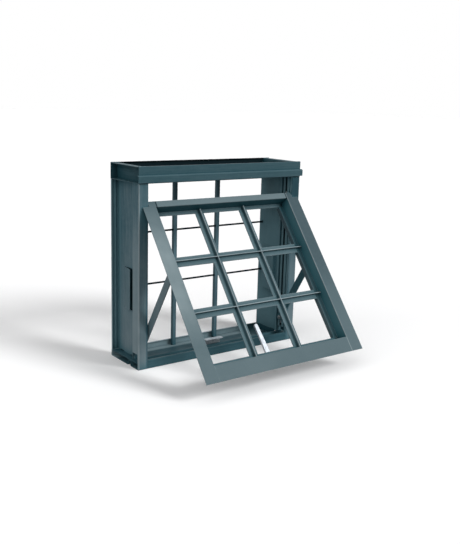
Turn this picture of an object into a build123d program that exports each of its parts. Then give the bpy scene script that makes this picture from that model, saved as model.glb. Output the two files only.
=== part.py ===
from build123d import *
from math import asin, cos, radians, sin
import os

# Awning window of roll-formed sheet steel, unglazed, with a security grille behind it.
# The frame is 140 mm deep. The sash is held open by two stay arms and two sliding shoes.
# Millimetres. Origin: middle of the sill's underside. +Z is up and -Y is outdoors.

# Frame, overall
frame_width = 500.0
frame_height = 500.0
frame_depth = 140.0
sheet = 1.2  # steel sheet of frame and sash
bend = 1.6  # radius of a fold
lip = 6.0  # return lip along a flange's edge

# Jamb section, seen from above
jamb_flange = 21.0  # from the wall side to the jamb's web
jamb_land = 26.0  # width of the flat front face
jamb_fold = 9.0  # depth of the fold behind the front face
pocket_floor = 8.0  # from the wall side to the floor of the track pocket
pocket_end = 43.0  # the pocket's rear wall, behind the front face
pocket_foot = 35.0  # the pocket's floor is cut away below this height
rib_width = 7.0  # raised rib beside the pocket
rib_rise = 5.0  # how far the rib stands off the web
bead_centre = 12.5  # stiffening bead in the rear flange, from the wall side
bead_width = 5.4
bead_crown = 2.8
bead_depth = 2.0

# Wall lug, cut out of the jamb's web and bent outwards
lug_hinge = 107.6  # its fold line, behind the front face
lug_length = 42.0
lug_height = 105.0
lug_bottom = 136.0
lug_angle = 10.0
lug_kerf = 1.0  # gap around the cut
cover_margin = 4.0  # the pressed cover behind the cut, past its edges
cover_depth = 9.0
cover_draft = 12.0  # degrees

# Sill tray
sill_front = 22.0
sill_ledge = 9.0
sill_hem = 6.0
sill_rear = 16.5
end_notch = 2.0  # gap between the end plates and the swage
swage_start = 40.0
swage_width = 14.0
swage_top = 9.0  # flat width of the swage's crown
swage_rise = 13.0

# Head channel
head_height = 41.0
end_width = 19.0  # the plate across the head's open end is folded under its lips

# Drip over the sash
drip_top = 19.0  # below the top of the frame
drip_reach = 6.0  # in front of the frame
drip_drop = 15.0
drip_fall = 4.4
drip_flange = 6.4
drip_overhang = 4.0  # past each side of the frame

# Slider track, a lipped rail in the jamb's pocket
track_start = 12.0
track_width = 24.0
track_slot = 8.0
track_sheet = 1.5

# Security grille
grille_setback = 12.0  # from the rear of the frame to the middle of the bars
grille_bar = 10.0
grille_rod = 5.0
grille_pitch = 68.2  # from the middle of the window to a bar
rod_lower = 181.0
rod_upper = 319.0
rod_clearance = 0.3

# Sash, measured on its outer face
side_cover = 17.0  # overlap on the jamb's front face
head_cover = 14.2
sill_cover = 11.5
stile_face = 36.4
top_face = 16.0
bottom_face = 39.4
rebate_depth = 30.0  # from the outer face to the glazing lip
stile_lip = 12.6
top_lip = 10.0
bottom_lip = 12.0
stile_return = 12.0
foot_depth = 13.0  # the bottom rail's back behind its glazing lip
foot_height = 20.0
wing_notch_width = 17.0  # cut from the wing's upper corner so that it can slide
wing_notch_depth = 14.0

# Glazing bars of tee section
tee_flange = 25.0
tee_height = 11.0
tee_thickness = 2.0
panes = 3

# Linkage
sash_opening = 37.9  # degrees from closed
slider_below_top = 2.0  # the sliding stud, below the sash's top edge
sash_pivot_drop = 188.0  # from the sliding stud to the arm's pin on the sash
frame_pivot_height = 62.0
arm_width = 20.0
arm_thickness = 3.0
arm_gap = 2.0  # between the track's lips and the arm
spacer = 13.0
stud = 7.0
pin_hole_clearance = 0.3
collar = 12.0  # hexagonal, across its corners
rivet_head = 12.0
rivet_height = 1.4
shoe_length = 36.0
shoe_clearance = 0.4
bracket_length = 46.0
bracket_width = 18.0
bracket_thickness = 2.5

# Handle and keeper
handle_plate_width = 34.0
handle_plate_height = 26.0
handle_plate = 2.5
handle_boss = 18.0
handle_boss_height = 14.0
handle_turn = 3.0  # degrees off the sash's upright
handle_lever_length = 94.0
handle_lever_thickness = 5.0
handle_lever_root = 13.0
handle_lever_tip = 9.5
handle_tail = 20.0
handle_tail_width = 10.0
handle_spindle = 7.0  # square
keeper_length = 55.0
keeper_reach = 15.0
keeper_height = 17.0
keeper_thickness = 1.6

# Places worked out from the sizes above
front = -frame_depth / 2
head_bottom = frame_height - head_height
track_plane = jamb_flange + rib_rise  # the inner face of track and rib, from the wall side
track_axis = track_start + track_width / 2  # the sliding stud, behind the front face
track_top = head_bottom

sash_side = jamb_land - side_cover
sash_width = frame_width - 2 * sash_side
sash_top_closed = head_bottom + head_cover
sash_height = sash_top_closed - (sill_front - sill_cover)
stile_inner = sash_side + stile_face
pane_width = (frame_width - 2 * stile_inner) / panes
pane_height = (sash_height - top_face - bottom_face) / panes
lip_plane = rebate_depth + sheet
foot_plane = lip_plane + foot_depth

# Closed, the stud, the arm's pin and the frame pivot stand in one line
stud_depth = track_axis + sheet  # behind the sash's outer face
frame_arm = (
    sash_top_closed - slider_below_top - frame_pivot_height - sash_pivot_drop
)
tilt = radians(sash_opening)
arm_tilt = asin(sash_pivot_drop * sin(tilt) / frame_arm)
stud_height = frame_pivot_height + sash_pivot_drop * cos(tilt) + frame_arm * cos(arm_tilt)
sash_down = Vector(0, -sin(tilt), -cos(tilt))
sash_in = Vector(0, cos(tilt), -sin(tilt))
stud_place = Vector(0, front + track_axis, stud_height)
sash_top = stud_place - sash_down * slider_below_top - sash_in * stud_depth

# Planes. X is measured from the frame's middle on the sash and the grille,
# and from its left side in the frame's own sections.
left = -frame_width / 2
frame_corner = Vector(left, front, 0)
depth_section = Plane(origin=frame_corner, x_dir=(0, 1, 0), z_dir=(1, 0, 0))
middle_section = Plane(origin=(0, front, 0), x_dir=(0, 1, 0), z_dir=(1, 0, 0))


def level_section(height):
    # A level plane at a height: local X runs from the left side, local Y from the front
    return Plane(origin=frame_corner + Vector(0, 0, height), x_dir=(1, 0, 0), z_dir=(0, 0, 1))


def side_plane(place, from_side):
    # Upright plane facing right, at a distance from the frame's left side
    return Plane(
        origin=(left + from_side, place.Y, place.Z),
        x_dir=(0, 1, 0),
        z_dir=(1, 0, 0),
    )


def on_sash(x, down, inward):
    return sash_top + Vector(x, 0, 0) + sash_down * down + sash_in * inward


def rail_section(x):
    # Across the sash: local X runs down the sash, local Y inwards
    return Plane(origin=on_sash(x, 0, 0), x_dir=sash_down, z_dir=(1, 0, 0))


def stile_section(down):
    # Level with the sash's rails: local X runs to the right, local Y inwards
    return Plane(origin=on_sash(left, down, 0), x_dir=(1, 0, 0), z_dir=sash_down * -1)


def sash_face(inward):
    # In the plane of the sash: local X runs from the middle to the right, local Y down
    return Plane(origin=on_sash(0, 0, inward), x_dir=(1, 0, 0), z_dir=sash_in)


def folded(plane, points, side=Side.LEFT, thickness=sheet, radius=bend):
    # The section of a folded strip: one skin of the sheet, and its thickness to one side
    with BuildSketch(plane) as section:
        with BuildLine():
            FilletPolyline(*points, radius=radius)
            offset(amount=thickness, side=side)
        make_face()
    return section.sketch


def mirrored(piece):
    with BuildPart() as other:
        mirror(piece.part, about=Plane.YZ)
    return other


def save(piece, name):
    piece.part.label = name
    export_step(piece.part, os.path.join("parts", name + ".step"))


os.makedirs("parts", exist_ok=True)

# Sill: a tray with a low rear upstand, a front flange with a ledge, and a swage in its floor
sill_floor_skin = [
    (frame_depth - lip, sill_rear),
    (frame_depth, sill_rear),
    (frame_depth, 0),
    (swage_start + swage_width, 0),
    (swage_start + (swage_width + swage_top) / 2, swage_rise),
    (swage_start + (swage_width - swage_top) / 2, swage_rise),
    (swage_start, 0),
    (0, 0),
    (0, sill_front),
    (sill_ledge, sill_front),
    (sill_ledge, sill_front - sill_hem),
]
with BuildPart() as frame_sill:
    extrude(folded(depth_section, sill_floor_skin, Side.RIGHT), amount=frame_width)
    # The jamb's front face runs down to the floor at both ends
    with BuildSketch(Plane.XY.offset(sheet)):
        with GridLocations(frame_width - jamb_land, 0, 2, 1):
            with Locations((0, front + jamb_fold / 2)):
                Rectangle(jamb_land, jamb_fold + 2)
    extrude(amount=sill_front, mode=Mode.SUBTRACT)
save(frame_sill, "frame_sill")

# Plates at the sill's ends: each carries a jamb and closes the tray, clear of the swage
with BuildPart() as sill_end_left:
    with BuildSketch(Plane.XY.offset(sill_rear - sheet)):
        with Locations((left, front + jamb_fold)):
            Rectangle(jamb_flange, frame_depth - lip - jamb_fold, align=(Align.MIN, Align.MIN))
    extrude(amount=sheet)
    with BuildSketch(side_plane(Vector(0, front, sheet), jamb_flange - sheet)):
        with Locations((jamb_fold, 0)):
            Rectangle(
                frame_depth - lip - jamb_fold,
                sill_rear - 2 * sheet,
                align=(Align.MIN, Align.MIN),
            )
        with Locations((swage_start + swage_width / 2, 0)):
            Rectangle(
                swage_width + 2 * end_notch,
                sill_rear - 2 * sheet,
                align=(Align.CENTER, Align.MIN),
                mode=Mode.SUBTRACT,
            )
    extrude(amount=sheet)
save(sill_end_left, "sill_end_left")
save(mirrored(sill_end_left), "sill_end_right")

# Head: a channel that is open upwards, with a lip along each edge
head_skin = [
    (lip, frame_height),
    (0, frame_height),
    (0, head_bottom),
    (frame_depth, head_bottom),
    (frame_depth, frame_height),
    (frame_depth - lip, frame_height),
]
with BuildPart() as frame_head:
    extrude(folded(depth_section, head_skin), amount=frame_width)
save(frame_head, "frame_head")

# Plates across the head's open ends, folded from under its lips down to its floor
head_end_skin = [
    (0, frame_height - sheet),
    (end_width, frame_height - sheet),
    (end_width, head_bottom + sheet),
]
with BuildPart() as head_end_left:
    head_end_plane = Plane(
        origin=(left, frame_depth / 2 - bend, 0), x_dir=(1, 0, 0), z_dir=(0, -1, 0)
    )
    extrude(folded(head_end_plane, head_end_skin, Side.RIGHT), amount=frame_depth - 2 * bend)
save(head_end_left, "head_end_left")
save(mirrored(head_end_left), "head_end_right")

# Drip: a formed strip on the head's front. The shut sash's top edge goes up behind it.
drip_seat = frame_height - drip_top
drip_skin = [
    (0, drip_seat - drip_flange),
    (0, drip_seat),
    (-drip_reach, drip_seat - drip_fall),
    (-drip_reach, drip_seat - drip_fall - drip_drop),
]
with BuildPart() as head_drip:
    extrude(
        folded(middle_section, drip_skin),
        amount=frame_width / 2 + drip_overhang,
        both=True,
    )
save(head_drip, "head_drip")

# Jamb: outward flanges, a pocket for the slider track, and a wall lug cut from the web
front_skin = [(0, lip), (0, 0), (jamb_land, 0), (jamb_land, jamb_fold)]
jamb_skin = [
    *front_skin,
    (pocket_floor, jamb_fold),
    (pocket_floor, pocket_end),
    (track_plane, pocket_end),
    (track_plane, pocket_end + rib_width),
    (jamb_flange, pocket_end + rib_width),
    (jamb_flange, frame_depth),
    (bead_centre + bead_width / 2, frame_depth),
    (bead_centre + bead_crown / 2, frame_depth - bead_depth),
    (bead_centre - bead_crown / 2, frame_depth - bead_depth),
    (bead_centre - bead_width / 2, frame_depth),
    (0, frame_depth),
    (0, frame_depth - lip),
]
lug_turn = radians(lug_angle)
lug_skin = [
    (jamb_flange, lug_hinge + 1),
    (jamb_flange, lug_hinge),
    (
        jamb_flange - lug_length * sin(lug_turn),
        lug_hinge - lug_length * cos(lug_turn),
    ),
]
with BuildPart() as frame_jamb_left:
    extrude(folded(level_section(sill_rear), jamb_skin), amount=head_bottom - sill_rear)
    extrude(folded(level_section(sheet), front_skin), amount=sill_rear)
    with BuildSketch(level_section(lug_bottom - lug_kerf)):
        with Locations((jamb_flange, lug_hinge - lug_length / 2 - lug_kerf / 2)):
            Rectangle(4 * sheet, lug_length + lug_kerf)
    extrude(amount=lug_height + 2 * lug_kerf, mode=Mode.SUBTRACT)
    extrude(folded(level_section(lug_bottom), lug_skin, Side.RIGHT, radius=0.5), amount=lug_height)
    # Drain opening through the pocket's floor
    with BuildSketch(level_section(sill_rear)):
        with Locations((pocket_floor, (jamb_fold + pocket_end) / 2)):
            Rectangle(4 * sheet, pocket_end - jamb_fold - 2 * bend)
    extrude(amount=pocket_foot - sill_rear, mode=Mode.SUBTRACT)
save(frame_jamb_left, "frame_jamb_left")
save(mirrored(frame_jamb_left), "frame_jamb_right")

# Pressed cover that closes the lug's cut on the room side, so no mortar gets through
cover_length = lug_length + 2 * cover_margin
cover_height = lug_height + 2 * cover_margin
cover_place = Vector(0, front + lug_hinge - lug_length / 2, lug_bottom + lug_height / 2)
cover_plane = side_plane(cover_place, jamb_flange)
with BuildPart() as lug_cover_left:
    with BuildSketch(cover_plane):
        Rectangle(cover_length + 3 * lip, cover_height + 3 * lip)
    extrude(amount=sheet)
    with BuildSketch(cover_plane):
        Rectangle(cover_length + 2 * sheet, cover_height + 2 * sheet)
    extrude(amount=cover_depth + sheet, taper=cover_draft)
    with BuildSketch(cover_plane):
        Rectangle(cover_length, cover_height)
    extrude(amount=cover_depth, taper=cover_draft, mode=Mode.SUBTRACT)
save(lug_cover_left, "lug_cover_left")
save(mirrored(lug_cover_left), "lug_cover_right")

# Slider track: a lipped rail on the pocket's floor, with a slot for the studs
track_skin = [
    (track_plane, track_axis - track_slot / 2),
    (track_plane, track_start),
    (pocket_floor, track_start),
    (pocket_floor, track_start + track_width),
    (track_plane, track_start + track_width),
    (track_plane, track_axis + track_slot / 2),
]
with BuildPart() as slider_track_left:
    extrude(
        folded(level_section(pocket_foot), track_skin, Side.RIGHT, track_sheet, track_sheet + 0.3),
        amount=track_top - pocket_foot,
    )
save(slider_track_left, "slider_track_left")
save(mirrored(slider_track_left), "slider_track_right")

# Grille bars, drilled for the rods
bar_axis = frame_depth / 2 - grille_setback
with BuildPart() as grille_bar_left:
    with BuildSketch(Plane.XY.offset(sheet)):
        with Locations((-grille_pitch, bar_axis)):
            Rectangle(grille_bar, grille_bar)
    extrude(amount=head_bottom - sheet)
    with BuildSketch(Plane.YZ):
        with Locations((bar_axis, rod_lower), (bar_axis, rod_upper)):
            Circle(grille_rod / 2 + rod_clearance)
    extrude(amount=frame_width, both=True, mode=Mode.SUBTRACT)
save(grille_bar_left, "grille_bar_left")
save(mirrored(grille_bar_left), "grille_bar_right")

# Grille rods, from jamb to jamb
for name, height in (("grille_rod_lower", rod_lower), ("grille_rod_upper", rod_upper)):
    with BuildPart() as grille_rod_piece:
        with BuildSketch(Plane.YZ):
            with Locations((bar_axis, height)):
                Circle(grille_rod / 2)
        extrude(amount=frame_width / 2 - jamb_flange, both=True)
    save(grille_rod_piece, name)

# Sash stile: wing, glazing rebate, lip and return. The wing is notched at the top.
wing_skin = [(sash_side, 0), (stile_inner, 0), (stile_inner, lip_plane)]
lip_skin = [
    (stile_inner, bend),
    (stile_inner, rebate_depth),
    (stile_inner + stile_lip, rebate_depth),
    (stile_inner + stile_lip, rebate_depth + stile_return),
]
top_lip_edge = top_face + top_lip
bottom_lip_edge = sash_height - bottom_face - bottom_lip
bottom_web = sash_height - bottom_face
fold_top = top_face - sheet
fold_bottom = bottom_web + sheet
with BuildPart() as sash_stile_left:
    extrude(folded(stile_section(fold_bottom), wing_skin), amount=fold_bottom - fold_top)
    # Past the rails' webs the wing is flat, and meets the rails' faces
    with BuildSketch(sash_face(0)):
        for start, end in ((0, fold_top), (fold_bottom, sash_height)):
            with Locations((left + sash_side, start)):
                Rectangle(stile_face, end - start, align=(Align.MIN, Align.MIN))
    extrude(amount=sheet)
    extrude(
        folded(stile_section(bottom_lip_edge), lip_skin),
        amount=bottom_lip_edge - top_lip_edge,
    )
    with BuildSketch(sash_face(-1)):
        with Locations((left + sash_side, 0)):
            Rectangle(wing_notch_width, wing_notch_depth, align=(Align.MIN, Align.MIN))
    extrude(amount=2 * sheet + 1, mode=Mode.SUBTRACT)
save(sash_stile_left, "sash_stile_left")
save(mirrored(sash_stile_left), "sash_stile_right")

# Rails between the stiles
rail_reach = frame_width / 2 - stile_inner
top_rail_skin = [
    (0, 0),
    (top_face, 0),
    (top_face, rebate_depth),
    (top_lip_edge, rebate_depth),
]
with BuildPart() as sash_top_rail:
    extrude(folded(rail_section(0), top_rail_skin), amount=rail_reach, both=True)
save(sash_top_rail, "sash_top_rail")

bottom_rail_skin = [
    (sash_height, 0),
    (bottom_web, 0),
    (bottom_web, rebate_depth),
    (bottom_lip_edge, rebate_depth),
    (bottom_lip_edge, foot_plane),
    (bottom_lip_edge + foot_height, foot_plane),
]
with BuildPart() as sash_bottom_rail:
    extrude(folded(rail_section(0), bottom_rail_skin, Side.RIGHT), amount=rail_reach, both=True)
save(sash_bottom_rail, "sash_bottom_rail")


# Glazing bars: tees with the web outwards, halved into each other where they cross
web_edge = rebate_depth + tee_thickness - tee_height


def tee(plane, centre, start):
    # Flange on the glazing lip's plane and web towards the outer face
    with BuildSketch(plane) as section:
        with Locations((centre, rebate_depth)):
            Rectangle(tee_flange, tee_thickness, align=(Align.CENTER, Align.MIN))
        with Locations((centre, start)):
            Rectangle(tee_thickness, rebate_depth - start, align=(Align.CENTER, Align.MIN))
    return section.sketch


bar_rows = [top_face + pane_height * (row + 1) for row in range(panes - 1)]
bar_columns = [pane_width * (column + 1) - panes * pane_width / 2 for column in range(panes - 1)]
lip_reach = rail_reach - stile_lip

for name, row in zip(("muntin_horizontal_upper", "muntin_horizontal_lower"), bar_rows):
    with BuildPart() as muntin_horizontal:
        extrude(tee(rail_section(0), row, web_edge), amount=lip_reach, both=True)
        # The web runs on over the lips to the stiles
        with BuildSketch(sash_face(web_edge)):
            with Locations((0, row)):
                Rectangle(2 * (rail_reach - bend), tee_thickness)
        extrude(amount=tee_height - tee_thickness)
        # Slots that the upright bars' webs pass through
        with BuildSketch(sash_face(web_edge)):
            with Locations(*[(column, row) for column in bar_columns]):
                Rectangle(tee_thickness, 2 * tee_thickness)
        extrude(amount=tee_height - tee_thickness, mode=Mode.SUBTRACT)
    save(muntin_horizontal, name)

bar_middle = (top_lip_edge + bottom_lip_edge) / 2
bar_length = bottom_lip_edge - top_lip_edge
for name, column in zip(("muntin_vertical_left", "muntin_vertical_right"), bar_columns):
    with BuildPart() as muntin_vertical:
        with BuildSketch(sash_face(rebate_depth)):
            with Locations((column, bar_middle)):
                Rectangle(tee_flange, bar_length)
            with Locations(*[(column, row) for row in bar_rows]):
                Rectangle(tee_flange, tee_flange, mode=Mode.SUBTRACT)
        extrude(amount=tee_thickness)
        with BuildSketch(sash_face(web_edge)):
            with Locations((column, (top_face + bottom_web) / 2)):
                Rectangle(tee_thickness, bottom_web - top_face - 2 * bend)
        extrude(amount=tee_height - tee_thickness)
    save(muntin_vertical, name)

# Linkage, left side. Everything lies between the track and the sash's stile.
arm_near = track_plane + arm_gap
arm_far = arm_near + arm_thickness
web_near = stile_inner - sheet
track_inside = pocket_floor + track_sheet
pivot_place = Vector(0, front + track_axis, frame_pivot_height)
pin_place = on_sash(0, slider_below_top + sash_pivot_drop, stud_depth)


def turned_plane(place, from_side, down):
    # As side_plane, with local X along a given direction
    return Plane(
        origin=(left + from_side, place.Y, place.Z),
        x_dir=down,
        z_dir=(1, 0, 0),
    )


shoe_depth = track_plane - track_inside - track_sheet - 2 * shoe_clearance
shoe_width = track_width - 2 * track_sheet - 2 * shoe_clearance
shoe_far = track_inside + shoe_clearance + shoe_depth

# The sliding shoe runs in the track, and its stud passes through the slot to the sash
with BuildPart() as slider_shoe_left:
    with BuildSketch(side_plane(stud_place, track_inside + shoe_clearance)):
        RectangleRounded(shoe_width, shoe_length, 3)
    extrude(amount=shoe_depth)
    with BuildSketch(side_plane(stud_place, shoe_far)):
        Circle(stud / 2)
    extrude(amount=web_near - shoe_far)
save(slider_shoe_left, "slider_shoe_left")
save(mirrored(slider_shoe_left), "slider_shoe_right")

# The frame pivot is a block fixed in the foot of the track
with BuildPart() as pivot_block_left:
    with BuildSketch(side_plane(pivot_place, track_inside)):
        Rectangle(shoe_width, shoe_length)
    extrude(amount=track_plane - track_sheet - track_inside)
    with BuildSketch(side_plane(pivot_place, track_plane - track_sheet)):
        Circle(stud / 2)
    extrude(amount=arm_far + rivet_height - track_plane + track_sheet)
    with BuildSketch(side_plane(pivot_place, track_plane)):
        Rectangle(spacer, spacer)
    extrude(amount=arm_gap)
    with BuildSketch(side_plane(pivot_place, arm_far)):
        Circle(rivet_head / 2)
    extrude(amount=rivet_height)
save(pivot_block_left, "pivot_block_left")
save(mirrored(pivot_block_left), "pivot_block_right")

# Stay arm: a flat bar with round ends, from the frame pivot to the pin on the sash
arm_direction = (pin_place - pivot_place).normalized()
arm_middle = (pin_place + pivot_place) / 2
with BuildPart() as stay_arm_left:
    with BuildSketch(turned_plane(arm_middle, arm_near, arm_direction)):
        SlotCenterToCenter(frame_arm, arm_width)
        with Locations((-frame_arm / 2, 0), (frame_arm / 2, 0)):
            Circle(stud / 2 + pin_hole_clearance, mode=Mode.SUBTRACT)
    extrude(amount=arm_thickness)
save(stay_arm_left, "stay_arm_left")
save(mirrored(stay_arm_left), "stay_arm_right")

# Pin on the sash: a rivet through the arm, with a collar that keeps it off the stile
with BuildPart() as arm_pin_left:
    with BuildSketch(side_plane(pin_place, arm_near - rivet_height)):
        Circle(rivet_head / 2)
    extrude(amount=rivet_height)
    with BuildSketch(side_plane(pin_place, arm_near)):
        Circle(stud / 2)
    extrude(amount=arm_thickness)
    with BuildSketch(side_plane(pin_place, arm_far)):
        RegularPolygon(collar / 2, 6)
    extrude(amount=web_near - arm_far)
save(arm_pin_left, "arm_pin_left")
save(mirrored(arm_pin_left), "arm_pin_right")

# Bracket on the stile that carries the sliding stud above the cut wing
with BuildPart() as sash_bracket_left:
    with BuildSketch(turned_plane(stud_place, web_near - bracket_thickness, sash_down)):
        with Locations(((bracket_length - bracket_width) / 2, 0)):
            SlotOverall(bracket_length, bracket_width)
        Circle(stud / 2 + pin_hole_clearance, mode=Mode.SUBTRACT)
    extrude(amount=bracket_thickness)
save(sash_bracket_left, "sash_bracket_left")
save(mirrored(sash_bracket_left), "sash_bracket_right")

# Handle on the back of the bottom rail
handle_down = bottom_lip_edge + foot_height / 2
plate_near = foot_plane
boss_near = plate_near + handle_plate
lever_near = boss_near + handle_boss_height
handle_place = on_sash(0, handle_down, lever_near)
lever_turn = radians(handle_turn)
lever_side = Vector(1, 0, 0) * cos(lever_turn) - sash_down * sin(lever_turn)
handle_face = Plane(origin=handle_place, x_dir=lever_side, z_dir=sash_in)
with BuildPart() as handle_base:
    with BuildSketch(sash_face(plate_near)):
        with Locations((0, handle_down)):
            RectangleRounded(handle_plate_width, handle_plate_height, 4)
    extrude(amount=handle_plate)
    with BuildSketch(sash_face(boss_near)):
        with Locations((0, handle_down)):
            Circle(handle_boss / 2)
    extrude(amount=handle_boss_height)
    with BuildSketch(handle_face):
        Rectangle(handle_spindle, handle_spindle)
    extrude(amount=handle_lever_thickness)
save(handle_base, "handle_base")

# Lever: tapers from the boss to its round tip, with a short tail that meets the keeper
with BuildPart() as handle_lever:
    with BuildSketch(handle_face):
        with BuildLine():
            tip = handle_lever_tip / 2 - handle_lever_length
            Polyline(
                (-handle_lever_tip / 2, tip),
                (-handle_lever_root / 2, -handle_lever_root / 2),
                (-handle_lever_root / 2, handle_lever_root / 2),
                (-handle_tail_width / 2, handle_tail),
                (handle_tail_width / 2, handle_tail),
                (handle_lever_root / 2, handle_lever_root / 2),
                (handle_lever_root / 2, -handle_lever_root / 2),
                (handle_lever_tip / 2, tip),
            )
            ThreePointArc(
                (handle_lever_tip / 2, tip),
                (0, tip - handle_lever_tip / 2),
                (-handle_lever_tip / 2, tip),
            )
        make_face()
        hole = handle_spindle + 2 * pin_hole_clearance
        Rectangle(hole, hole, mode=Mode.SUBTRACT)
    extrude(amount=handle_lever_thickness)
save(handle_lever, "handle_lever")

# Keeper: a folded plate that stands on the sill's swage
swage_middle = swage_start + swage_width / 2
keeper_foot = swage_rise + sheet
keeper_back = [
    (swage_middle + swage_top / 2 - bend, keeper_foot),
    (swage_middle - swage_top / 2 + bend, keeper_foot),
    (swage_middle - swage_top / 2 + bend, keeper_foot + keeper_height),
    (swage_middle - swage_top / 2 + bend - keeper_reach, keeper_foot + keeper_height),
]
with BuildPart() as keeper_plate:
    extrude(
        folded(middle_section, keeper_back, Side.RIGHT, keeper_thickness, 2.0),
        amount=keeper_length / 2,
        both=True,
    )
save(keeper_plate, "keeper_plate")
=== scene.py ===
from math import cos, pi, radians, sin

import bmesh
import bpy
from mathutils import Matrix, Vector


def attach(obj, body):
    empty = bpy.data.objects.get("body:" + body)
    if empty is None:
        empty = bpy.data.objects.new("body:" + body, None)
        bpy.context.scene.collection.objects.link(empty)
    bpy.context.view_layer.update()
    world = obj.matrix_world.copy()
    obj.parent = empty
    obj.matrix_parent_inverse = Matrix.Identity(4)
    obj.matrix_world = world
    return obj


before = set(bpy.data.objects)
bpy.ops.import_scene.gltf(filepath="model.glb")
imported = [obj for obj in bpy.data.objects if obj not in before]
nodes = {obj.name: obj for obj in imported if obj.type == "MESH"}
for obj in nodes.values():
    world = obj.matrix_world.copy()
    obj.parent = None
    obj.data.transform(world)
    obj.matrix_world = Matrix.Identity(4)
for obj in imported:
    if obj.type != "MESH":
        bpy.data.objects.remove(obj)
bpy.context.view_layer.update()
scene = bpy.context.scene
scene.view_settings.view_transform = "Standard"

# The photograph's viewing angle: degrees, metres, and millimetres for the lens and its sensor
cameraSettings = {
    "azimuth": -36.903,
    "elevation": 12.666,
    "roll": 1.644,
    "target": (0.02265, -0.070, 0.2190),
    "distance": 2.0089,
    "lens": 50.98,
    "sensor": 36.0,
}


def addCamera(s):
    a, e = radians(s["azimuth"]), radians(s["elevation"])
    back = Vector((sin(a) * cos(e), -cos(a) * cos(e), sin(e)))
    right = Vector((0, 0, 1)).cross(back).normalized()
    up = back.cross(right)
    r = radians(s["roll"])
    rolledRight = right * cos(r) + up * sin(r)
    rolledUp = up * cos(r) - right * sin(r)
    data = bpy.data.cameras.new("camera")
    data.sensor_fit = "VERTICAL"
    data.sensor_height = s["sensor"]
    data.sensor_width = s["sensor"]
    data.lens = s["lens"]
    camera = bpy.data.objects.new("camera", data)
    scene.collection.objects.link(camera)
    turn = Matrix((rolledRight, rolledUp, back)).transposed()
    place = Matrix.Translation(Vector(s["target"]) + back * s["distance"])
    camera.matrix_world = place @ turn.to_4x4()
    scene.camera = camera


addCamera(cameraSettings)
print("camera placed")

# A key from the front right, a broad fill from the left, a soft lamp overhead and an even room.
# The room and the floor give one light and show another: see seenDirectly
studioSettings = {
    "lamps": {
        "keyLamp": {"azimuth": 26.0, "elevation": 34.0, "strength": 2.65, "spread": 22.0},
        "fillLamp": {"azimuth": -62.0, "elevation": 22.0, "strength": 1.95, "spread": 90.0},
        "topLamp": {"azimuth": 8.0, "elevation": 72.0, "strength": 0.5, "spread": 80.0},
    },
    "room": {
        "given": {"Color": (1, 1, 1, 1), "Strength": 0.22},
        "seen": {"Color": (1, 1, 1, 1), "Strength": 1.0},
    },
    "floorSize": 60.0,
    "floor": {
        "given": {"Color": (0.28, 0.29, 0.30, 1)},
        "seen": {"Color": (0.945, 0.945, 0.950, 1)},
    },
}


def seenDirectly(tree):
    # One for what the camera, a gloss or a clear surface shows, nought for the light given
    path = tree.nodes.new("ShaderNodeLightPath")
    seen = path.outputs["Is Camera Ray"]
    for ray in ("Is Glossy Ray", "Is Transmission Ray"):
        either = tree.nodes.new("ShaderNodeMath")
        either.operation = "MAXIMUM"
        tree.links.new(seen, either.inputs[0])
        tree.links.new(path.outputs[ray], either.inputs[1])
        seen = either.outputs[0]
    return seen


def splitShader(tree, kind, outKind, s):
    # Two shaders of one kind: "given" lights the object, "seen" shows
    tree.nodes.clear()
    mix = tree.nodes.new("ShaderNodeMixShader")
    tree.links.new(seenDirectly(tree), mix.inputs[0])
    for place, values in ((1, s["given"]), (2, s["seen"])):
        shader = tree.nodes.new(kind)
        for socket, value in values.items():
            shader.inputs[socket].default_value = value
        tree.links.new(shader.outputs[0], mix.inputs[place])
    out = tree.nodes.new(outKind)
    tree.links.new(mix.outputs[0], out.inputs["Surface"])


def addLamp(name, s):
    data = bpy.data.lights.new(name, "SUN")
    data.energy = s["strength"]
    data.angle = radians(s["spread"])
    lamp = bpy.data.objects.new(name, data)
    scene.collection.objects.link(lamp)
    a, e = radians(s["azimuth"]), radians(s["elevation"])
    towards = Vector((-sin(a) * cos(e), cos(a) * cos(e), -sin(e)))
    lamp.rotation_euler = towards.to_track_quat("-Z", "Y").to_euler()


def addStudio(s):
    for name, lampSettings in s["lamps"].items():
        addLamp(name, lampSettings)

    world = bpy.data.worlds.new("room")
    scene.world = world
    world.use_nodes = True
    splitShader(world.node_tree, "ShaderNodeBackground", "ShaderNodeOutputWorld", s["room"])

    mesh = bpy.data.meshes.new("floor")
    bm = bmesh.new()
    bmesh.ops.create_grid(bm, x_segments=1, y_segments=1, size=s["floorSize"] / 2)
    bm.to_mesh(mesh)
    bm.free()
    floor = bpy.data.objects.new("floor", mesh)
    scene.collection.objects.link(floor)
    material = bpy.data.materials.new("paleFloor")
    material.use_nodes = True
    splitShader(material.node_tree, "ShaderNodeBsdfDiffuse", "ShaderNodeOutputMaterial", s["floor"])
    mesh.materials.append(material)


addStudio(studioSettings)
print("studio lit")

# Places on the sash, as the CAD has them: right from the middle, down the face and inwards
sashSettings = {"opening": 37.9, "top": (0, -0.0646563, 0.4160657), "side": 0.2046}
tilt = radians(sashSettings["opening"])
sashDown = Vector((0, -sin(tilt), -cos(tilt)))
sashIn = Vector((0, cos(tilt), -sin(tilt)))


def onSash(across, down, inward):
    return Vector(sashSettings["top"]) + Vector((across, 0, 0)) + sashDown * down + sashIn * inward


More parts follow.
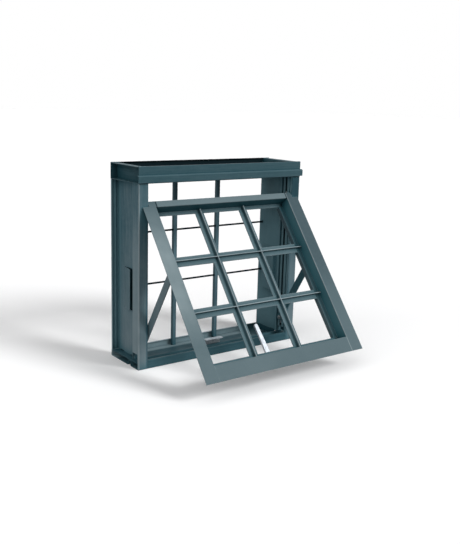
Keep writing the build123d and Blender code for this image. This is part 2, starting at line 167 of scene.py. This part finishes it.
# What all the paints share. A noise has its scale per metre and its detail, "from" and "to" say
# which part of its range counts and what that gives, and a bump has a strength and a height
noiseRoughness = 0.55
paintPattern = {
    "patches": {"scale": 7.0, "detail": 5.0, "from": (0.35, 0.68), "to": (0.0, 1.0)},
    "patchesAmount": 0.45,
    "mottle": {
        "scale": 95.0, "detail": 6.0, "roughness": 0.65, "from": (0.3, 0.7), "to": (0.0, 1.0),
    },
    "mottleAmount": 0.22,
    "rolled": {"scale": 260.0, "detail": 3.0, "from": (0.3, 0.7), "to": (0.0, 1.0)},
    "tintPatches": {"scale": 9.0, "detail": 3.0, "from": (0.35, 0.65), "to": (0.45, 1.0)},
    "wearAndHighlightTurn": (0.97, 0.80),
    "wearAndHighlightPatches": {"scale": 60.0, "detail": 4.0, "from": (0.42, 0.62), "to": (0.25, 1.0)},
    "dustSlope": (0.35, 1.0),
    "dustMottle": (0.55, 1.0),
    "cornerSamples": 6,
    "shadeOpen": (0.92, 0.50),
    "deepShadeOpen": (0.55, 0.12),
    "gloss": {"scale": 38.0, "detail": 5.0, "from": (0.3, 0.7), "to": (0.36, 0.56)},
    "peel": {"scale": 900.0, "detail": 2.0},
    "waves": {"scale": 26.0, "detail": 2.0},
    "bumps": {"waves": (0.25, 0.0012), "rolled": (0.10, 0.0003), "peel": (0.18, 0.0002)},
}
metalPattern = {
    "cloud": {"scale": 120.0, "detail": 5.0, "from": (0.3, 0.7), "to": (0.0, 1.0)},
    "cloudAmount": 0.6,
    "flakeFrom": (0.0, 0.7),
    "flakeTo": (0.0, 0.4),
    "scratches": {"scale": 1400.0, "detail": 2.0},
    "bumps": {"cloud": (0.12, 0.0003), "scratches": (0.12, 0.0001)},
}

# Grey-green primer on rolled sheet. "tints" and "coats" change the colour between places, the
# first under the wear and the second over it: each has a colour, an amount and its ramps, and
# a patchy one comes through in patches
primer = {
    "colour": (0.042, 0.094, 0.113, 1),
    "deep": (0.020, 0.060, 0.077, 1),
    "worn": (0.125, 0.180, 0.200, 1),
    # the shade and inside colours and their amounts: painted shade in corners and recesses, nearly
    # black deeper in
    "shade": (0.008, 0.054, 0.074, 1),
    "inside": (0.004, 0.015, 0.021, 1),
    "shadeReach": 0.038,
    "shadeAmount": 0.75,
    "deepShadeAmount": 0.70,
    "specular": 0.04,
    "grain": (1, 1, 1),
    "streak": 0.22,
    # wear on the folds and edges, which also paints a highlight there
    "wearAndHighlightAmount": 0.45,
    "wearAndHighlightSize": 0.0016,
    "dust": 0.35,
    "tints": [],
    "coats": [],
}
sashFinish = {
    **primer,
    "colour": (0.076, 0.112, 0.125, 1),
    "deep": (0.048, 0.080, 0.092, 1),
    "worn": (0.185, 0.235, 0.250, 1),
    "shade": (0.012, 0.072, 0.092, 1),
    "deepShadeAmount": 0.80,
    "specular": 0.06,
    "wearAndHighlightAmount": 0.70,
    "wearAndHighlightSize": 0.0018,
}
headFinish = {
    **primer,
    "colour": (0.050, 0.092, 0.107, 1),
    "deep": (0.026, 0.062, 0.076, 1),
    "worn": (0.115, 0.165, 0.185, 1),
    "shade": (0.008, 0.050, 0.066, 1),
    "inside": (0.003, 0.009, 0.012, 1),
    "grain": (0.06, 1, 1),
    "streak": 0.40,
    "dust": 0.30,
}
paintSettings = {
    "framePaint": primer,
    "headPaint": {
        **headFinish,
        "coats": [  # painted shade: the hollow of the channel is made nearly black
            {"colour": (0.003, 0.009, 0.012, 1), "amount": 0.96, "patchy": False,
             "ramps": [("absY", 0.0691, 0.0689), ("absX", 0.2292, 0.2288), ("Z", 0.4600, 0.4602)]},
        ],
    },
    "endPaint": {
        **headFinish,
        "colour": (0.052, 0.104, 0.122, 1),
        "deep": (0.010, 0.036, 0.047, 1),
        "grain": (1, 0.05, 0.7),
        "streak": 0.75,
    },
    "jambPaint": {
        **primer,
        "colour": (0.110, 0.165, 0.188, 1),
        "deep": (0.040, 0.092, 0.114, 1),
        "worn": (0.210, 0.260, 0.280, 1),
        "shade": (0.030, 0.108, 0.136, 1),
        "deepShadeAmount": 0.45,
        "grain": (1, 1, 0.05),
        "streak": 0.55,
        "wearAndHighlightAmount": 0.70,
        "wearAndHighlightSize": 0.0026,
        "dust": 0.30,
        "tints": [
            # lighter towards the foot, on the outside
            {"colour": (0.210, 0.260, 0.280, 1), "amount": 0.50, "patchy": True,
             "ramps": [("Z", 0.36, 0.10), ("absX", 0.2292, 0.2298)]},
            # painted shade tone: a saturated teal on the faces within the opening, which stand in
            # shade
            {"colour": (0.128, 0.240, 0.276, 1), "amount": 0.85, "patchy": True,
             "ramps": [("absX", 0.2298, 0.2294), ("Y", -0.0684, -0.0680)]},
            # lighter beside the front and along the rear flange, darker at the top of the face
            {"colour": (0.240, 0.300, 0.320, 1), "amount": 0.34, "patchy": False,
             "ramps": [("Y", -0.006, -0.024), ("Z", 0.40, 0.30), ("absX", 0.2292, 0.2298),
                       ("Y", -0.0690, -0.0680)]},
            {"colour": (0.150, 0.245, 0.275, 1), "amount": 0.70, "patchy": False,
             "ramps": [("Y", 0.052, 0.060), ("absX", 0.2292, 0.2298)]},
            {"colour": (0.050, 0.088, 0.102, 1), "amount": 0.45, "patchy": False,
             "ramps": [("Z", 0.36, 0.42), ("Y", -0.0684, -0.0690)]},
            # painted shade under the head's right end
            {"colour": (0.014, 0.042, 0.054, 1), "amount": 0.90, "patchy": False,
             "ramps": [("X", 0.200, 0.215), ("Y", -0.0680, -0.0686), ("Z", 0.330, 0.400)]},
        ],
        "coats": [  # painted highlight along the outer front fold
            {"colour": (0.240, 0.285, 0.300, 1), "amount": 0.75, "patchy": True,
             "ramps": [("absX", 0.2468, 0.2484), ("Y", -0.0662, -0.0680)]},
        ],
    },
    "sillPaint": {
        **primer,
        "shade": (0.050, 0.105, 0.124, 1),
        "shadeAmount": 0.45,
        "deepShadeAmount": 0.20,
        "grain": (0.05, 1, 1),
        "streak": 0.45,
        "dust": 0.15,
        "tints": [
            # lighter along the rear, painted shade on the tray's floor
            {"colour": (0.285, 0.385, 0.420, 1), "amount": 0.95, "patchy": False,
             "ramps": [("Y", 0.036, 0.050), ("X", 0.190, 0.150)]},
            {"colour": (0.024, 0.068, 0.086, 1), "amount": 0.95, "patchy": False,
             "ramps": [("Y", 0.046, 0.034), ("Y", -0.050, -0.036), ("Z", 0.0160, 0.0145)]},
        ],
    },
    "sashPaint": {
        **sashFinish,
        "tints": [
            # lighter halfway down the left, darker above that and up the right
            {"colour": (0.185, 0.235, 0.250, 1), "amount": 0.95, "patchy": True,
             "ramps": [("X", -0.16, -0.22), ("Z", 0.12, 0.22), ("Z", 0.41, 0.33)]},
            {"colour": (0.040, 0.070, 0.082, 1), "amount": 0.60, "patchy": False,
             "ramps": [("X", 0.18, 0.21), ("Z", 0.10, 0.22)]},
            {"colour": (0.036, 0.064, 0.076, 1), "amount": 0.30, "patchy": False,
             "ramps": [("X", -0.18, -0.21), ("Z", 0.33, 0.37)]},
            {"colour": (0.016, 0.036, 0.046, 1), "amount": 0.60, "patchy": False,
             "ramps": [("X", 0.17, 0.19), ("Z", 0.18, 0.26)]},
            # painted shade tone: a saturated teal on the webs behind the face, which stand in shade
            {"colour": (0.046, 0.125, 0.148, 1), "amount": 0.90, "patchy": False,
             "ramps": [("inward", 0.0015, 0.0030), ("inward", 0.0292, 0.0280)]},
        ],
        "coats": [  # painted highlight along the right stile's inner fold
            {"colour": (0.210, 0.255, 0.270, 1), "amount": 0.70, "patchy": True,
             "ramps": [("X", 0.2034, 0.2040), ("X", 0.2072, 0.2060), ("inward", 0.0022, 0.0014)]},
        ],
    },
    "railPaint": {
        **sashFinish,
        "colour": (0.112, 0.152, 0.167, 1),
        "deep": (0.072, 0.112, 0.126, 1),
        "shade": (0.006, 0.038, 0.050, 1),
        "coats": [  # the joint where the rail's end meets the stile
            {"colour": (0.004, 0.015, 0.021, 1), "amount": 0.95, "patchy": False,
             "ramps": [("absX", 0.2006, 0.2018)]},
        ],
        "tints": [  # painted shade: a darker teal on the webs behind the face
            {"colour": (0.014, 0.068, 0.086, 1), "amount": 0.90, "patchy": False,
             "ramps": [("inward", 0.0015, 0.0030), ("inward", 0.0292, 0.0280)]},
        ],
    },
    "barPaint": {
        **sashFinish,
        "colour": (0.070, 0.112, 0.127, 1),
        "deep": (0.038, 0.078, 0.093, 1),
        "worn": (0.230, 0.280, 0.300, 1),
        "shade": (0.014, 0.066, 0.083, 1),
        "shadeAmount": 0.60,
        "wearAndHighlightAmount": 1.00,
        "wearAndHighlightSize": 0.0016,
        "dust": 0.45,
        "coats": [  # painted highlight along the webs' edges
            {"colour": (0.250, 0.300, 0.320, 1), "amount": 0.75, "patchy": True,
             "ramps": [("inward", 0.0250, 0.0225)]},
        ],
    },
    "armPaint": {
        **sashFinish,
        "colour": (0.135, 0.180, 0.196, 1),
        "deep": (0.078, 0.120, 0.136, 1),
        "shade": (0.040, 0.092, 0.112, 1),
        "shadeAmount": 0.50,
        "wearAndHighlightAmount": 0.40,
        "tints": [  # painted shade: the right arm stands in the shade of the sash and is darker
            {"colour": (0.020, 0.078, 0.098, 1), "amount": 0.90, "patchy": False,
             "ramps": [("X", -0.05, 0.05)]},
        ],
    },
    "grillePaint": {
        **primer,
        "colour": (0.104, 0.172, 0.204, 1),
        "deep": (0.056, 0.114, 0.140, 1),
        "shade": (0.034, 0.116, 0.146, 1),
        "grain": (1, 1, 0.05),
        "streak": 0.40,
    },
    "rodPaint": {
        **primer,
        "colour": (0.004, 0.012, 0.016, 1),
        "deep": (0.002, 0.006, 0.009, 1),
        "worn": (0.020, 0.040, 0.050, 1),
        "shade": (0.002, 0.008, 0.012, 1),
        "inside": (0.001, 0.004, 0.006, 1),
        "grain": (0.05, 1, 1),
        "wearAndHighlightAmount": 0.20,
        "dust": 0.05,
    },
}
# Plating and bare metal: where the film is darker it is rougher, and spangles are per metre
metalSettings = {
    "keeperPlate": {
        "colour": (0.60, 0.65, 0.69, 1),
        "deep": (0.25, 0.30, 0.33, 1),
        "roughFrom": 0.36,
        "roughTo": 0.60,
        "spangle": 300.0,
    },
    "zincPlate": {
        "colour": (0.20, 0.23, 0.24, 1),
        "deep": (0.09, 0.11, 0.12, 1),
        "roughFrom": 0.42,
        "roughTo": 0.62,
        "spangle": 420.0,
    },
    "brightPlate": {
        "colour": (0.38, 0.40, 0.43, 1),
        "deep": (0.20, 0.22, 0.24, 1),
        "roughFrom": 0.34,
        "roughTo": 0.50,
        "spangle": 260.0,
    },
    "weldSteel": {
        "colour": (0.034, 0.056, 0.064, 1),
        "deep": (0.012, 0.024, 0.030, 1),
        "roughFrom": 0.42,
        "roughTo": 0.62,
        "spangle": 700.0,
    },
}


def ranged(tree, value, fromLow, fromHigh, low, high):
    node = tree.nodes.new("ShaderNodeMapRange")
    node.inputs["From Min"].default_value = fromLow
    node.inputs["From Max"].default_value = fromHigh
    node.inputs["To Min"].default_value = low
    node.inputs["To Max"].default_value = high
    tree.links.new(value, node.inputs["Value"])
    return node.outputs["Result"]


def noiseAt(tree, place, s):
    noise = tree.nodes.new("ShaderNodeTexNoise")
    noise.inputs["Scale"].default_value = s["scale"]
    noise.inputs["Detail"].default_value = s["detail"]
    noise.inputs["Roughness"].default_value = s.get("roughness", noiseRoughness)
    tree.links.new(place, noise.inputs["Vector"])
    if "from" not in s:
        return noise.outputs["Fac"]
    return ranged(tree, noise.outputs["Fac"], *s["from"], *s["to"])


def combine(tree, operation, first, second):
    node = tree.nodes.new("ShaderNodeMath")
    node.operation = operation
    for socket, value in zip(node.inputs, (first, second)):
        if isinstance(value, (int, float)):
            socket.default_value = value
        else:
            tree.links.new(value, socket)
    return node.outputs[0]


def dotOf(tree, first, second):
    node = tree.nodes.new("ShaderNodeVectorMath")
    node.operation = "DOT_PRODUCT"
    for socket, value in zip(node.inputs, (first, second)):
        if isinstance(value, Vector):
            socket.default_value = value
        else:
            tree.links.new(value, socket)
    return node.outputs["Value"]


def blendColour(tree, factor, first, second):
    node = tree.nodes.new("ShaderNodeMix")
    node.data_type = "RGBA"
    tree.links.new(factor, node.inputs["Factor"])
    for socket, value in ((node.inputs[6], first), (node.inputs[7], second)):
        if isinstance(value, tuple):
            socket.default_value = value
        else:
            tree.links.new(value, socket)
    return node.outputs[2]


def bumped(tree, values, bumps):
    # Chains the named values into one normal
    normal = None
    for name, (strength, height) in bumps.items():
        bump = tree.nodes.new("ShaderNodeBump")
        bump.inputs["Strength"].default_value = strength
        bump.inputs["Distance"].default_value = height
        tree.links.new(values[name], bump.inputs["Height"])
        if normal is not None:
            tree.links.new(normal, bump.inputs["Normal"])
        normal = bump.outputs["Normal"]
    return normal


def tinted(tree, place, colour, tints, pattern):
    # Blends colours in between places: a ramp is an axis, where it starts and where it is full.
    # "absX" is the distance from the middle, "inward" the depth behind the sash's face
    if not tints:
        return colour
    xyz = tree.nodes.new("ShaderNodeSeparateXYZ")
    tree.links.new(place, xyz.inputs[0])
    patches = noiseAt(tree, place, pattern["tintPatches"])
    face = sashIn.dot(Vector(sashSettings["top"]))
    inward = combine(tree, "SUBTRACT", dotOf(tree, place, sashIn), face)
    for tint in tints:
        weight = tint["amount"]
        for axis, start, full in tint["ramps"]:
            value = inward if axis == "inward" else xyz.outputs[axis[-1]]
            if axis.startswith("abs"):
                value = combine(tree, "ABSOLUTE", value, 0.0)
            weight = combine(tree, "MULTIPLY", ranged(tree, value, start, full, 0.0, 1.0), weight)
        if tint["patchy"]:
            weight = combine(tree, "MULTIPLY", weight, patches)
        colour = blendColour(tree, weight, colour, tint["colour"])
    return colour


def newMaterial(name):
    material = bpy.data.materials.new(name)
    material.use_nodes = True
    tree = material.node_tree
    place = tree.nodes.new("ShaderNodeTexCoord").outputs["Object"]
    return material, tree, tree.nodes["Principled BSDF"], place


def paintedSteel(name, s, pattern):
    # Thin primer over rolled sheet: mottled, dusty on top, worn and given a painted highlight on
    # the folds
    material, tree, shader, place = newMaterial(name)
    shader.inputs["Specular IOR Level"].default_value = s["specular"]
    drawn = tree.nodes.new("ShaderNodeMapping")
    drawn.inputs["Scale"].default_value = s["grain"]
    tree.links.new(place, drawn.inputs["Vector"])

    patches = noiseAt(tree, place, pattern["patches"])
    mottle = noiseAt(tree, place, pattern["mottle"])
    rolled = noiseAt(tree, drawn.outputs["Vector"], pattern["rolled"])
    tone = combine(tree, "MULTIPLY", patches, pattern["patchesAmount"])
    tone = combine(tree, "ADD", tone, combine(tree, "MULTIPLY", mottle, pattern["mottleAmount"]))
    tone = combine(tree, "ADD", tone, combine(tree, "MULTIPLY", rolled, s["streak"]))
    colour = blendColour(tree, tone, s["colour"], s["deep"])
    colour = tinted(tree, place, colour, s["tints"], pattern)

    # Folds and edges lighten to the worn colour: real wear and a painted highlight
    facing = tree.nodes.new("ShaderNodeNewGeometry").outputs["Normal"]
    rounded = tree.nodes.new("ShaderNodeBevel")
    rounded.inputs["Radius"].default_value = s["wearAndHighlightSize"]
    edge = dotOf(tree, rounded.outputs["Normal"], facing)
    wearAndHighlight = ranged(tree, edge, *pattern["wearAndHighlightTurn"], 0.0, 1.0)
    wearAndHighlight = combine(tree, "MULTIPLY", wearAndHighlight, noiseAt(tree, place, pattern["wearAndHighlightPatches"]))
    wearAndHighlight = combine(tree, "MULTIPLY", wearAndHighlight, s["wearAndHighlightAmount"])
    colour = blendColour(tree, wearAndHighlight, colour, s["worn"])

    upward = tree.nodes.new("ShaderNodeSeparateXYZ")
    tree.links.new(facing, upward.inputs[0])
    dust = ranged(tree, upward.outputs["Z"], *pattern["dustSlope"], 0.0, s["dust"])
    scattered = ranged(tree, mottle, 0.0, 1.0, *pattern["dustMottle"])
    colour = blendColour(tree, combine(tree, "MULTIPLY", dust, scattered), colour, s["worn"])

    # Painted shade in corners and recesses: towards the shade colour, and nearly black deeper in
    corner = tree.nodes.new("ShaderNodeAmbientOcclusion")
    corner.inputs["Distance"].default_value = s["shadeReach"]
    corner.samples = pattern["cornerSamples"]
    shade = ranged(tree, corner.outputs["AO"], *pattern["shadeOpen"], 0.0, s["shadeAmount"])
    colour = blendColour(tree, shade, colour, s["shade"])
    deepShade = ranged(tree, corner.outputs["AO"], *pattern["deepShadeOpen"], 0.0, s["deepShadeAmount"])
    colour = blendColour(tree, deepShade, colour, s["inside"])
    colour = tinted(tree, place, colour, s["coats"], pattern)

    tree.links.new(colour, shader.inputs["Base Color"])
    tree.links.new(noiseAt(tree, place, pattern["gloss"]), shader.inputs["Roughness"])
    values = {
        "waves": noiseAt(tree, place, pattern["waves"]),
        "rolled": rolled,
        "peel": noiseAt(tree, place, pattern["peel"]),
    }
    tree.links.new(bumped(tree, values, pattern["bumps"]), shader.inputs["Normal"])
    return material


def platedMetal(name, s, pattern):
    # Zinc or bare steel: crystals and a cloudy film that is rougher where it is darker
    material, tree, shader, place = newMaterial(name)
    shader.inputs["Metallic"].default_value = 1.0
    spangle = tree.nodes.new("ShaderNodeTexVoronoi")
    spangle.inputs["Scale"].default_value = s["spangle"]
    tree.links.new(place, spangle.inputs["Vector"])
    cloud = noiseAt(tree, place, pattern["cloud"])
    tone = combine(tree, "MULTIPLY", cloud, pattern["cloudAmount"])
    flake = ranged(tree, spangle.outputs["Distance"], *pattern["flakeFrom"], *pattern["flakeTo"])
    colour = blendColour(tree, combine(tree, "ADD", tone, flake), s["colour"], s["deep"])
    tree.links.new(colour, shader.inputs["Base Color"])
    gloss = ranged(tree, cloud, 0.0, 1.0, s["roughFrom"], s["roughTo"])
    tree.links.new(gloss, shader.inputs["Roughness"])
    values = {"cloud": cloud, "scratches": noiseAt(tree, place, pattern["scratches"])}
    tree.links.new(bumped(tree, values, pattern["bumps"]), shader.inputs["Normal"])
    return material


finishes = {name: paintedSteel(name, s, paintPattern) for name, s in paintSettings.items()}
finishes.update({name: platedMetal(name, s, metalPattern) for name, s in metalSettings.items()})

# The finish of each CAD node: the longest of these names that begins the node's own
finishOf = {
    "head": "endPaint",
    "frame_head": "headPaint",
    "head_drip": "headPaint",
    "frame_sill": "sillPaint",
    "sill_end": "framePaint",
    "lug_cover": "jambPaint",
    "frame_jamb": "jambPaint",
    "slider_track": "jambPaint",
    "grille": "grillePaint",
    "grille_rod": "rodPaint",
    "stay_arm": "armPaint",
    "sash": "sashPaint",
    "sash_top_rail": "railPaint",
    "sash_bracket": "zincPlate",
    "muntin": "barPaint",
    "slider_shoe": "zincPlate",
    "pivot_block": "zincPlate",
    "arm_pin": "zincPlate",
    "handle": "brightPlate",
    "keeper": "keeperPlate",
}
for name, piece in nodes.items():
    key = max((k for k in finishOf if name.startswith(k)), key=len)
    piece.data.materials.clear()
    piece.data.materials.append(finishes[finishOf[key]])
print("finishes on", len(nodes), "nodes")

# Half the frame's width, and which way each side lies
frameHalf = 0.25
sides = {"left": -1, "right": 1}


def addPiece(name, bm, finish, smooth=True):
    mesh = bpy.data.meshes.new(name)
    bmesh.ops.recalc_face_normals(bm, faces=bm.faces)
    bm.to_mesh(mesh)
    bm.free()
    for face in mesh.polygons:
        face.use_smooth = smooth
    mesh.materials.append(finishes[finish])
    piece = bpy.data.objects.new(name, mesh)
    scene.collection.objects.link(piece)
    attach(piece, "root")


def alongAxis(place, axis):
    # Puts local Z on an axis, with the origin at a place
    turn = Vector(axis).to_track_quat("Z", "Y").to_matrix().to_4x4()
    return Matrix.Translation(place) @ turn


def setInto(bm, part, matrix):
    # Moves a finished small part to its place and adds it to a piece
    bmesh.ops.transform(part, matrix=matrix, verts=part.verts)
    carrier = bpy.data.meshes.new("carrier")
    part.to_mesh(carrier)
    part.free()
    bm.from_mesh(carrier)
    bpy.data.meshes.remove(carrier)


# A bead's radius and the length of a ripple in metres; its ends and hollows as shares of the radius
weldSettings = {
    "radius": 0.0017, "ripple": 0.0022, "sides": 8, "ends": 0.45, "hollow": 0.74, "fewestRings": 4,
}


def layBead(bm, start, end, scale, s):
    # A run of weld: rings drawn out from a small disc, ripples and hollows by turns
    start, end = Vector(start), Vector(end)
    length = (end - start).length
    rings = max(s["fewestRings"], round(length / s["ripple"]) * 2)
    bead = bmesh.new()
    bmesh.ops.create_circle(
        bead, cap_ends=True, segments=s["sides"], radius=s["radius"] * scale * s["ends"]
    )
    edges = list(bead.edges)
    size = s["ends"]
    for k in range(1, rings + 1):
        out = bmesh.ops.extrude_edge_only(bead, edges=edges)["geom"]
        ring = [v for v in out if isinstance(v, bmesh.types.BMVert)]
        edges = [e for e in out if isinstance(e, bmesh.types.BMEdge)
                 and e.verts[0] in ring and e.verts[1] in ring]
        wanted = s["ends"] if k == rings else (1.0 if k % 2 else s["hollow"])
        bmesh.ops.translate(bead, verts=ring, vec=(0, 0, length / rings))
        bmesh.ops.scale(bead, verts=ring, vec=(wanted / size, wanted / size, 1))
        size = wanted
    bmesh.ops.contextual_create(bead, geom=edges)
    setInto(bm, bead, alongAxis(start, end - start))


def weldPiece(name, runs):
    # A run is where a bead starts, where it ends and its scale
    bm = bmesh.new()
    for start, end, scale in runs:
        layBead(bm, start, end, scale, weldSettings)
    addPiece(name, bm, "weldSteel")


# Welds at the sash's corners, in pairs from the top: down behind the face, then inwards on a web
cornerSettings = {
    "faceRuns": [(0.0010, 0.0140), (0.4250, 0.4615)],
    "faceDepth": 0.0016,
    "webs": [0.0145, 0.4248],
    "webDepths": (0.0030, 0.0290),
    "scale": 1.0,
}


def cornerRuns(sign, s):
    across = sign * sashSettings["side"]
    runs = []
    for faceRun, web in zip(s["faceRuns"], s["webs"]):
        ends = [onSash(across, down, s["faceDepth"]) for down in faceRun]
        runs.append([*ends, s["scale"]])
        ends = [onSash(across, web, inward) for inward in s["webDepths"]]
        runs.append([*ends, s["scale"]])
    return runs


for label, sign in sides.items():
    weldPiece("sashWelds_" + label, cornerRuns(sign, cornerSettings))

# Welds where the glazing bars' flanges meet the stiles' lips, and where their webs cross.
# Rows are down from the sash's top, the runs from the middle of a bar
barSettings = {
    "rows": {"upper": 0.15177, "lower": 0.28753},
    "columns": (-0.0682, 0.0682),
    "lip": 0.0126,
    "flangeRun": (0.01107, 0.00246),
    "flangeDepth": 0.0301,
    "crossing": (0.0014, 0.0013),
    "webDepths": (0.0232, 0.0292),
    "scale": 0.6,
}


def barRuns(row, s):
    runs = []
    for sign in (-1, 1):
        across = sign * (sashSettings["side"] - s["lip"])
        for way in (-1, 1):
            ends = [onSash(across, row + way * down, s["flangeDepth"]) for down in s["flangeRun"]]
            runs.append([*ends, s["scale"]])
        for column in s["columns"]:
            for way in (-1, 1):
                corner = (column + sign * s["crossing"][0], row + way * s["crossing"][1])
                runs.append([*[onSash(*corner, inward) for inward in s["webDepths"]], s["scale"]])
    return runs


for label, row in barSettings["rows"].items():
    weldPiece("barWelds_" + label, barRuns(row, barSettings))

# Welds that hold the jambs to head and sill
jambSettings = {
    "web": 0.2303,
    "heights": (0.0168, 0.4586),
    "starts": (-0.012, 0.040),
    "length": 0.016,
    "scale": 1.0,
}


def jambRuns(sign, s):
    runs = []
    for height in s["heights"]:
        for start in s["starts"]:
            ends = [(sign * s["web"], y, height) for y in (start, start + s["length"])]
            runs.append([*ends, s["scale"]])
    return runs


# Welds that hold the grille: a ring round each rod's end, and both sides of each bar's ends
grilleSettings = {
    "rodHeights": (0.181, 0.319),
    "rodEnd": 0.2288,
    "rodDepth": 0.058,
    "ring": 0.0031,
    "ringRuns": 8,
    "ringScale": 0.6,
    "barEnds": (0.0014, 0.4588),
    "barMiddle": 0.0682,
    "barHalf": 0.0052,
    "barDepths": (0.0535, 0.0625),
    "barScale": 0.8,
}


def grilleRuns(sign, s):
    runs = []
    for height in s["rodHeights"]:
        ring = []
        for k in range(s["ringRuns"] + 1):
            turn = 2 * pi * k / s["ringRuns"]
            y, z = s["rodDepth"] + s["ring"] * cos(turn), height + s["ring"] * sin(turn)
            ring.append((sign * s["rodEnd"], y, z))
        runs += [(start, end, s["ringScale"]) for start, end in zip(ring, ring[1:])]
    for height in s["barEnds"]:
        for way in (-1, 1):
            x = sign * s["barMiddle"] + way * s["barHalf"]
            runs.append([*[(x, y, height) for y in s["barDepths"]], s["barScale"]])
    return runs


for label, sign in sides.items():
    weldPiece("frameWelds_" + label, jambRuns(sign, jambSettings))
    weldPiece("grilleWelds_" + label, grilleRuns(sign, grilleSettings))
print("welds laid")

rivetSettings = {"radius": 0.0048, "rise": 0.0016, "segments": 24, "rings": 10, "cut": 0.001}


def setRivet(bm, place, axis, scale, s):
    # A domed head: the upper half of a flattened ball
    dome = bmesh.new()
    bmesh.ops.create_uvsphere(dome, u_segments=s["segments"], v_segments=s["rings"], radius=1.0)
    geom = list(dome.verts) + list(dome.edges) + list(dome.faces)
    bmesh.ops.bisect_plane(
        dome, geom=geom, plane_co=(0, 0, s["cut"]), plane_no=(0, 0, 1), clear_inner=True
    )
    rim = [e for e in dome.edges if e.is_boundary]
    bmesh.ops.contextual_create(dome, geom=rim)
    flat = Matrix.Diagonal((s["radius"] * scale, s["radius"] * scale, s["rise"] * scale, 1))
    setInto(bm, dome, alongAxis(place, axis) @ flat)


# Rivets through the arms: on the sash's pin outside, on the fixed pivot inside.
# "armNear" and "armFar" are the arm's faces, measured in from the frame's side
linkSettings = {
    "pinDown": 0.190,
    "studDepth": 0.0252,
    "pivotY": -0.046,
    "pivotZ": 0.062,
    "armNear": 0.028,
    "armFar": 0.031,
    "headRise": 0.0014,
    "scale": 1.0,
}


def armRivets(sign, s):
    outer = frameHalf - s["armNear"] + s["headRise"]
    inner = frameHalf - s["armFar"] - s["headRise"]
    pin = onSash(0, s["pinDown"], s["studDepth"])
    pivot = (sign * inner, s["pivotY"], s["pivotZ"])
    bm = bmesh.new()
    setRivet(bm, (sign * outer, pin.y, pin.z), (sign, 0, 0), s["scale"], rivetSettings)
    setRivet(bm, pivot, (-sign, 0, 0), s["scale"], rivetSettings)
    return bm


for label, sign in sides.items():
    addPiece("armRivets_" + label, armRivets(sign, linkSettings), "zincPlate")

# An inset has a thickness and a depth: the crown, the recess's lip and its wall
screwSettings = {
    "radius": 0.0026,
    "taper": 0.86,
    "height": 0.0013,
    "segments": 24,
    "insets": [(0.00072, 0.0003), (0.00042, -0.0002), (0.0001, -0.0007)],
}


def setScrew(bm, place, axis, s):
    # A pan head with a rounded rim and a recess for the driver
    head = bmesh.new()
    bmesh.ops.create_cone(
        head, cap_ends=True, segments=s["segments"], radius1=s["radius"],
        radius2=s["radius"] * s["taper"], depth=s["height"],
        matrix=Matrix.Translation((0, 0, s["height"] / 2)),
    )
    head.normal_update()
    top = max(head.faces, key=lambda face: face.normal.z)
    for thickness, depth in s["insets"]:
        bmesh.ops.inset_individual(head, faces=[top], thickness=thickness, depth=depth)
    setInto(bm, head, alongAxis(place, axis))


handleSettings = {"down": 0.4213, "plate": 0.0467, "spread": 0.0128}


def handleScrews(s):
    bm = bmesh.new()
    for sign in (-1, 1):
        place = onSash(sign * s["spread"], s["down"], s["plate"])
        setScrew(bm, place, sashIn, screwSettings)
    return bm


addPiece("handleScrews", handleScrews(handleSettings), "zincPlate")

# Baffles behind the drain openings at the jambs' feet: a folded strip welded under the track
baffleSettings = {
    "leaf": 0.0116,
    "front": -0.0575,
    "rear": -0.0340,
    "foot": 0.0200,
    "top": 0.0350,
    "reach": 0.0090,
    "sheet": 0.0010,
}


def bentBaffle(sign, s):
    # Two leaves of sheet at a right angle: one under the track, one behind the opening
    bm = bmesh.new()
    fold = frameHalf - s["leaf"]
    profile = [(fold - s["reach"], s["top"]), (fold, s["top"]), (fold, s["foot"])]
    line = [bm.verts.new((sign * x, s["front"], z)) for x, z in profile]
    edges = [bm.edges.new(pair) for pair in zip(line, line[1:])]
    drawn = bmesh.ops.extrude_edge_only(bm, edges=edges)["geom"]
    ring = [v for v in drawn if isinstance(v, bmesh.types.BMVert)]
    bmesh.ops.translate(bm, verts=ring, vec=(0, s["rear"] - s["front"], 0))
    bmesh.ops.recalc_face_normals(bm, faces=bm.faces)
    # The upper leaf's outside looks up, so that the sheet's thickness lies below it
    if min(face.normal.z for face in bm.faces) < -0.5:
        bmesh.ops.reverse_faces(bm, faces=bm.faces)
    bmesh.ops.solidify(bm, geom=bm.faces, thickness=s["sheet"])
    return bm


for label, sign in sides.items():
    baffle = bentBaffle(sign, baffleSettings)
    addPiece("drainBaffle_" + label, baffle, "framePaint", smooth=False)
print("baffles set")

# Rivets up the tracks, on their inner face
trackSettings = {
    "depth": -0.046, "first": 0.095, "pitch": 0.085, "count": 5, "face": 0.0095, "scale": 0.6,
}


def trackRivets(sign, s):
    bm = bmesh.new()
    for k in range(s["count"]):
        place = (sign * (frameHalf - s["face"]), s["depth"], s["first"] + s["pitch"] * k)
        setRivet(bm, place, (-sign, 0, 0), s["scale"], rivetSettings)
    return bm


for label, sign in sides.items():
    addPiece("trackRivets_" + label, trackRivets(sign, trackSettings), "zincPlate")
print("rivets and screws set")
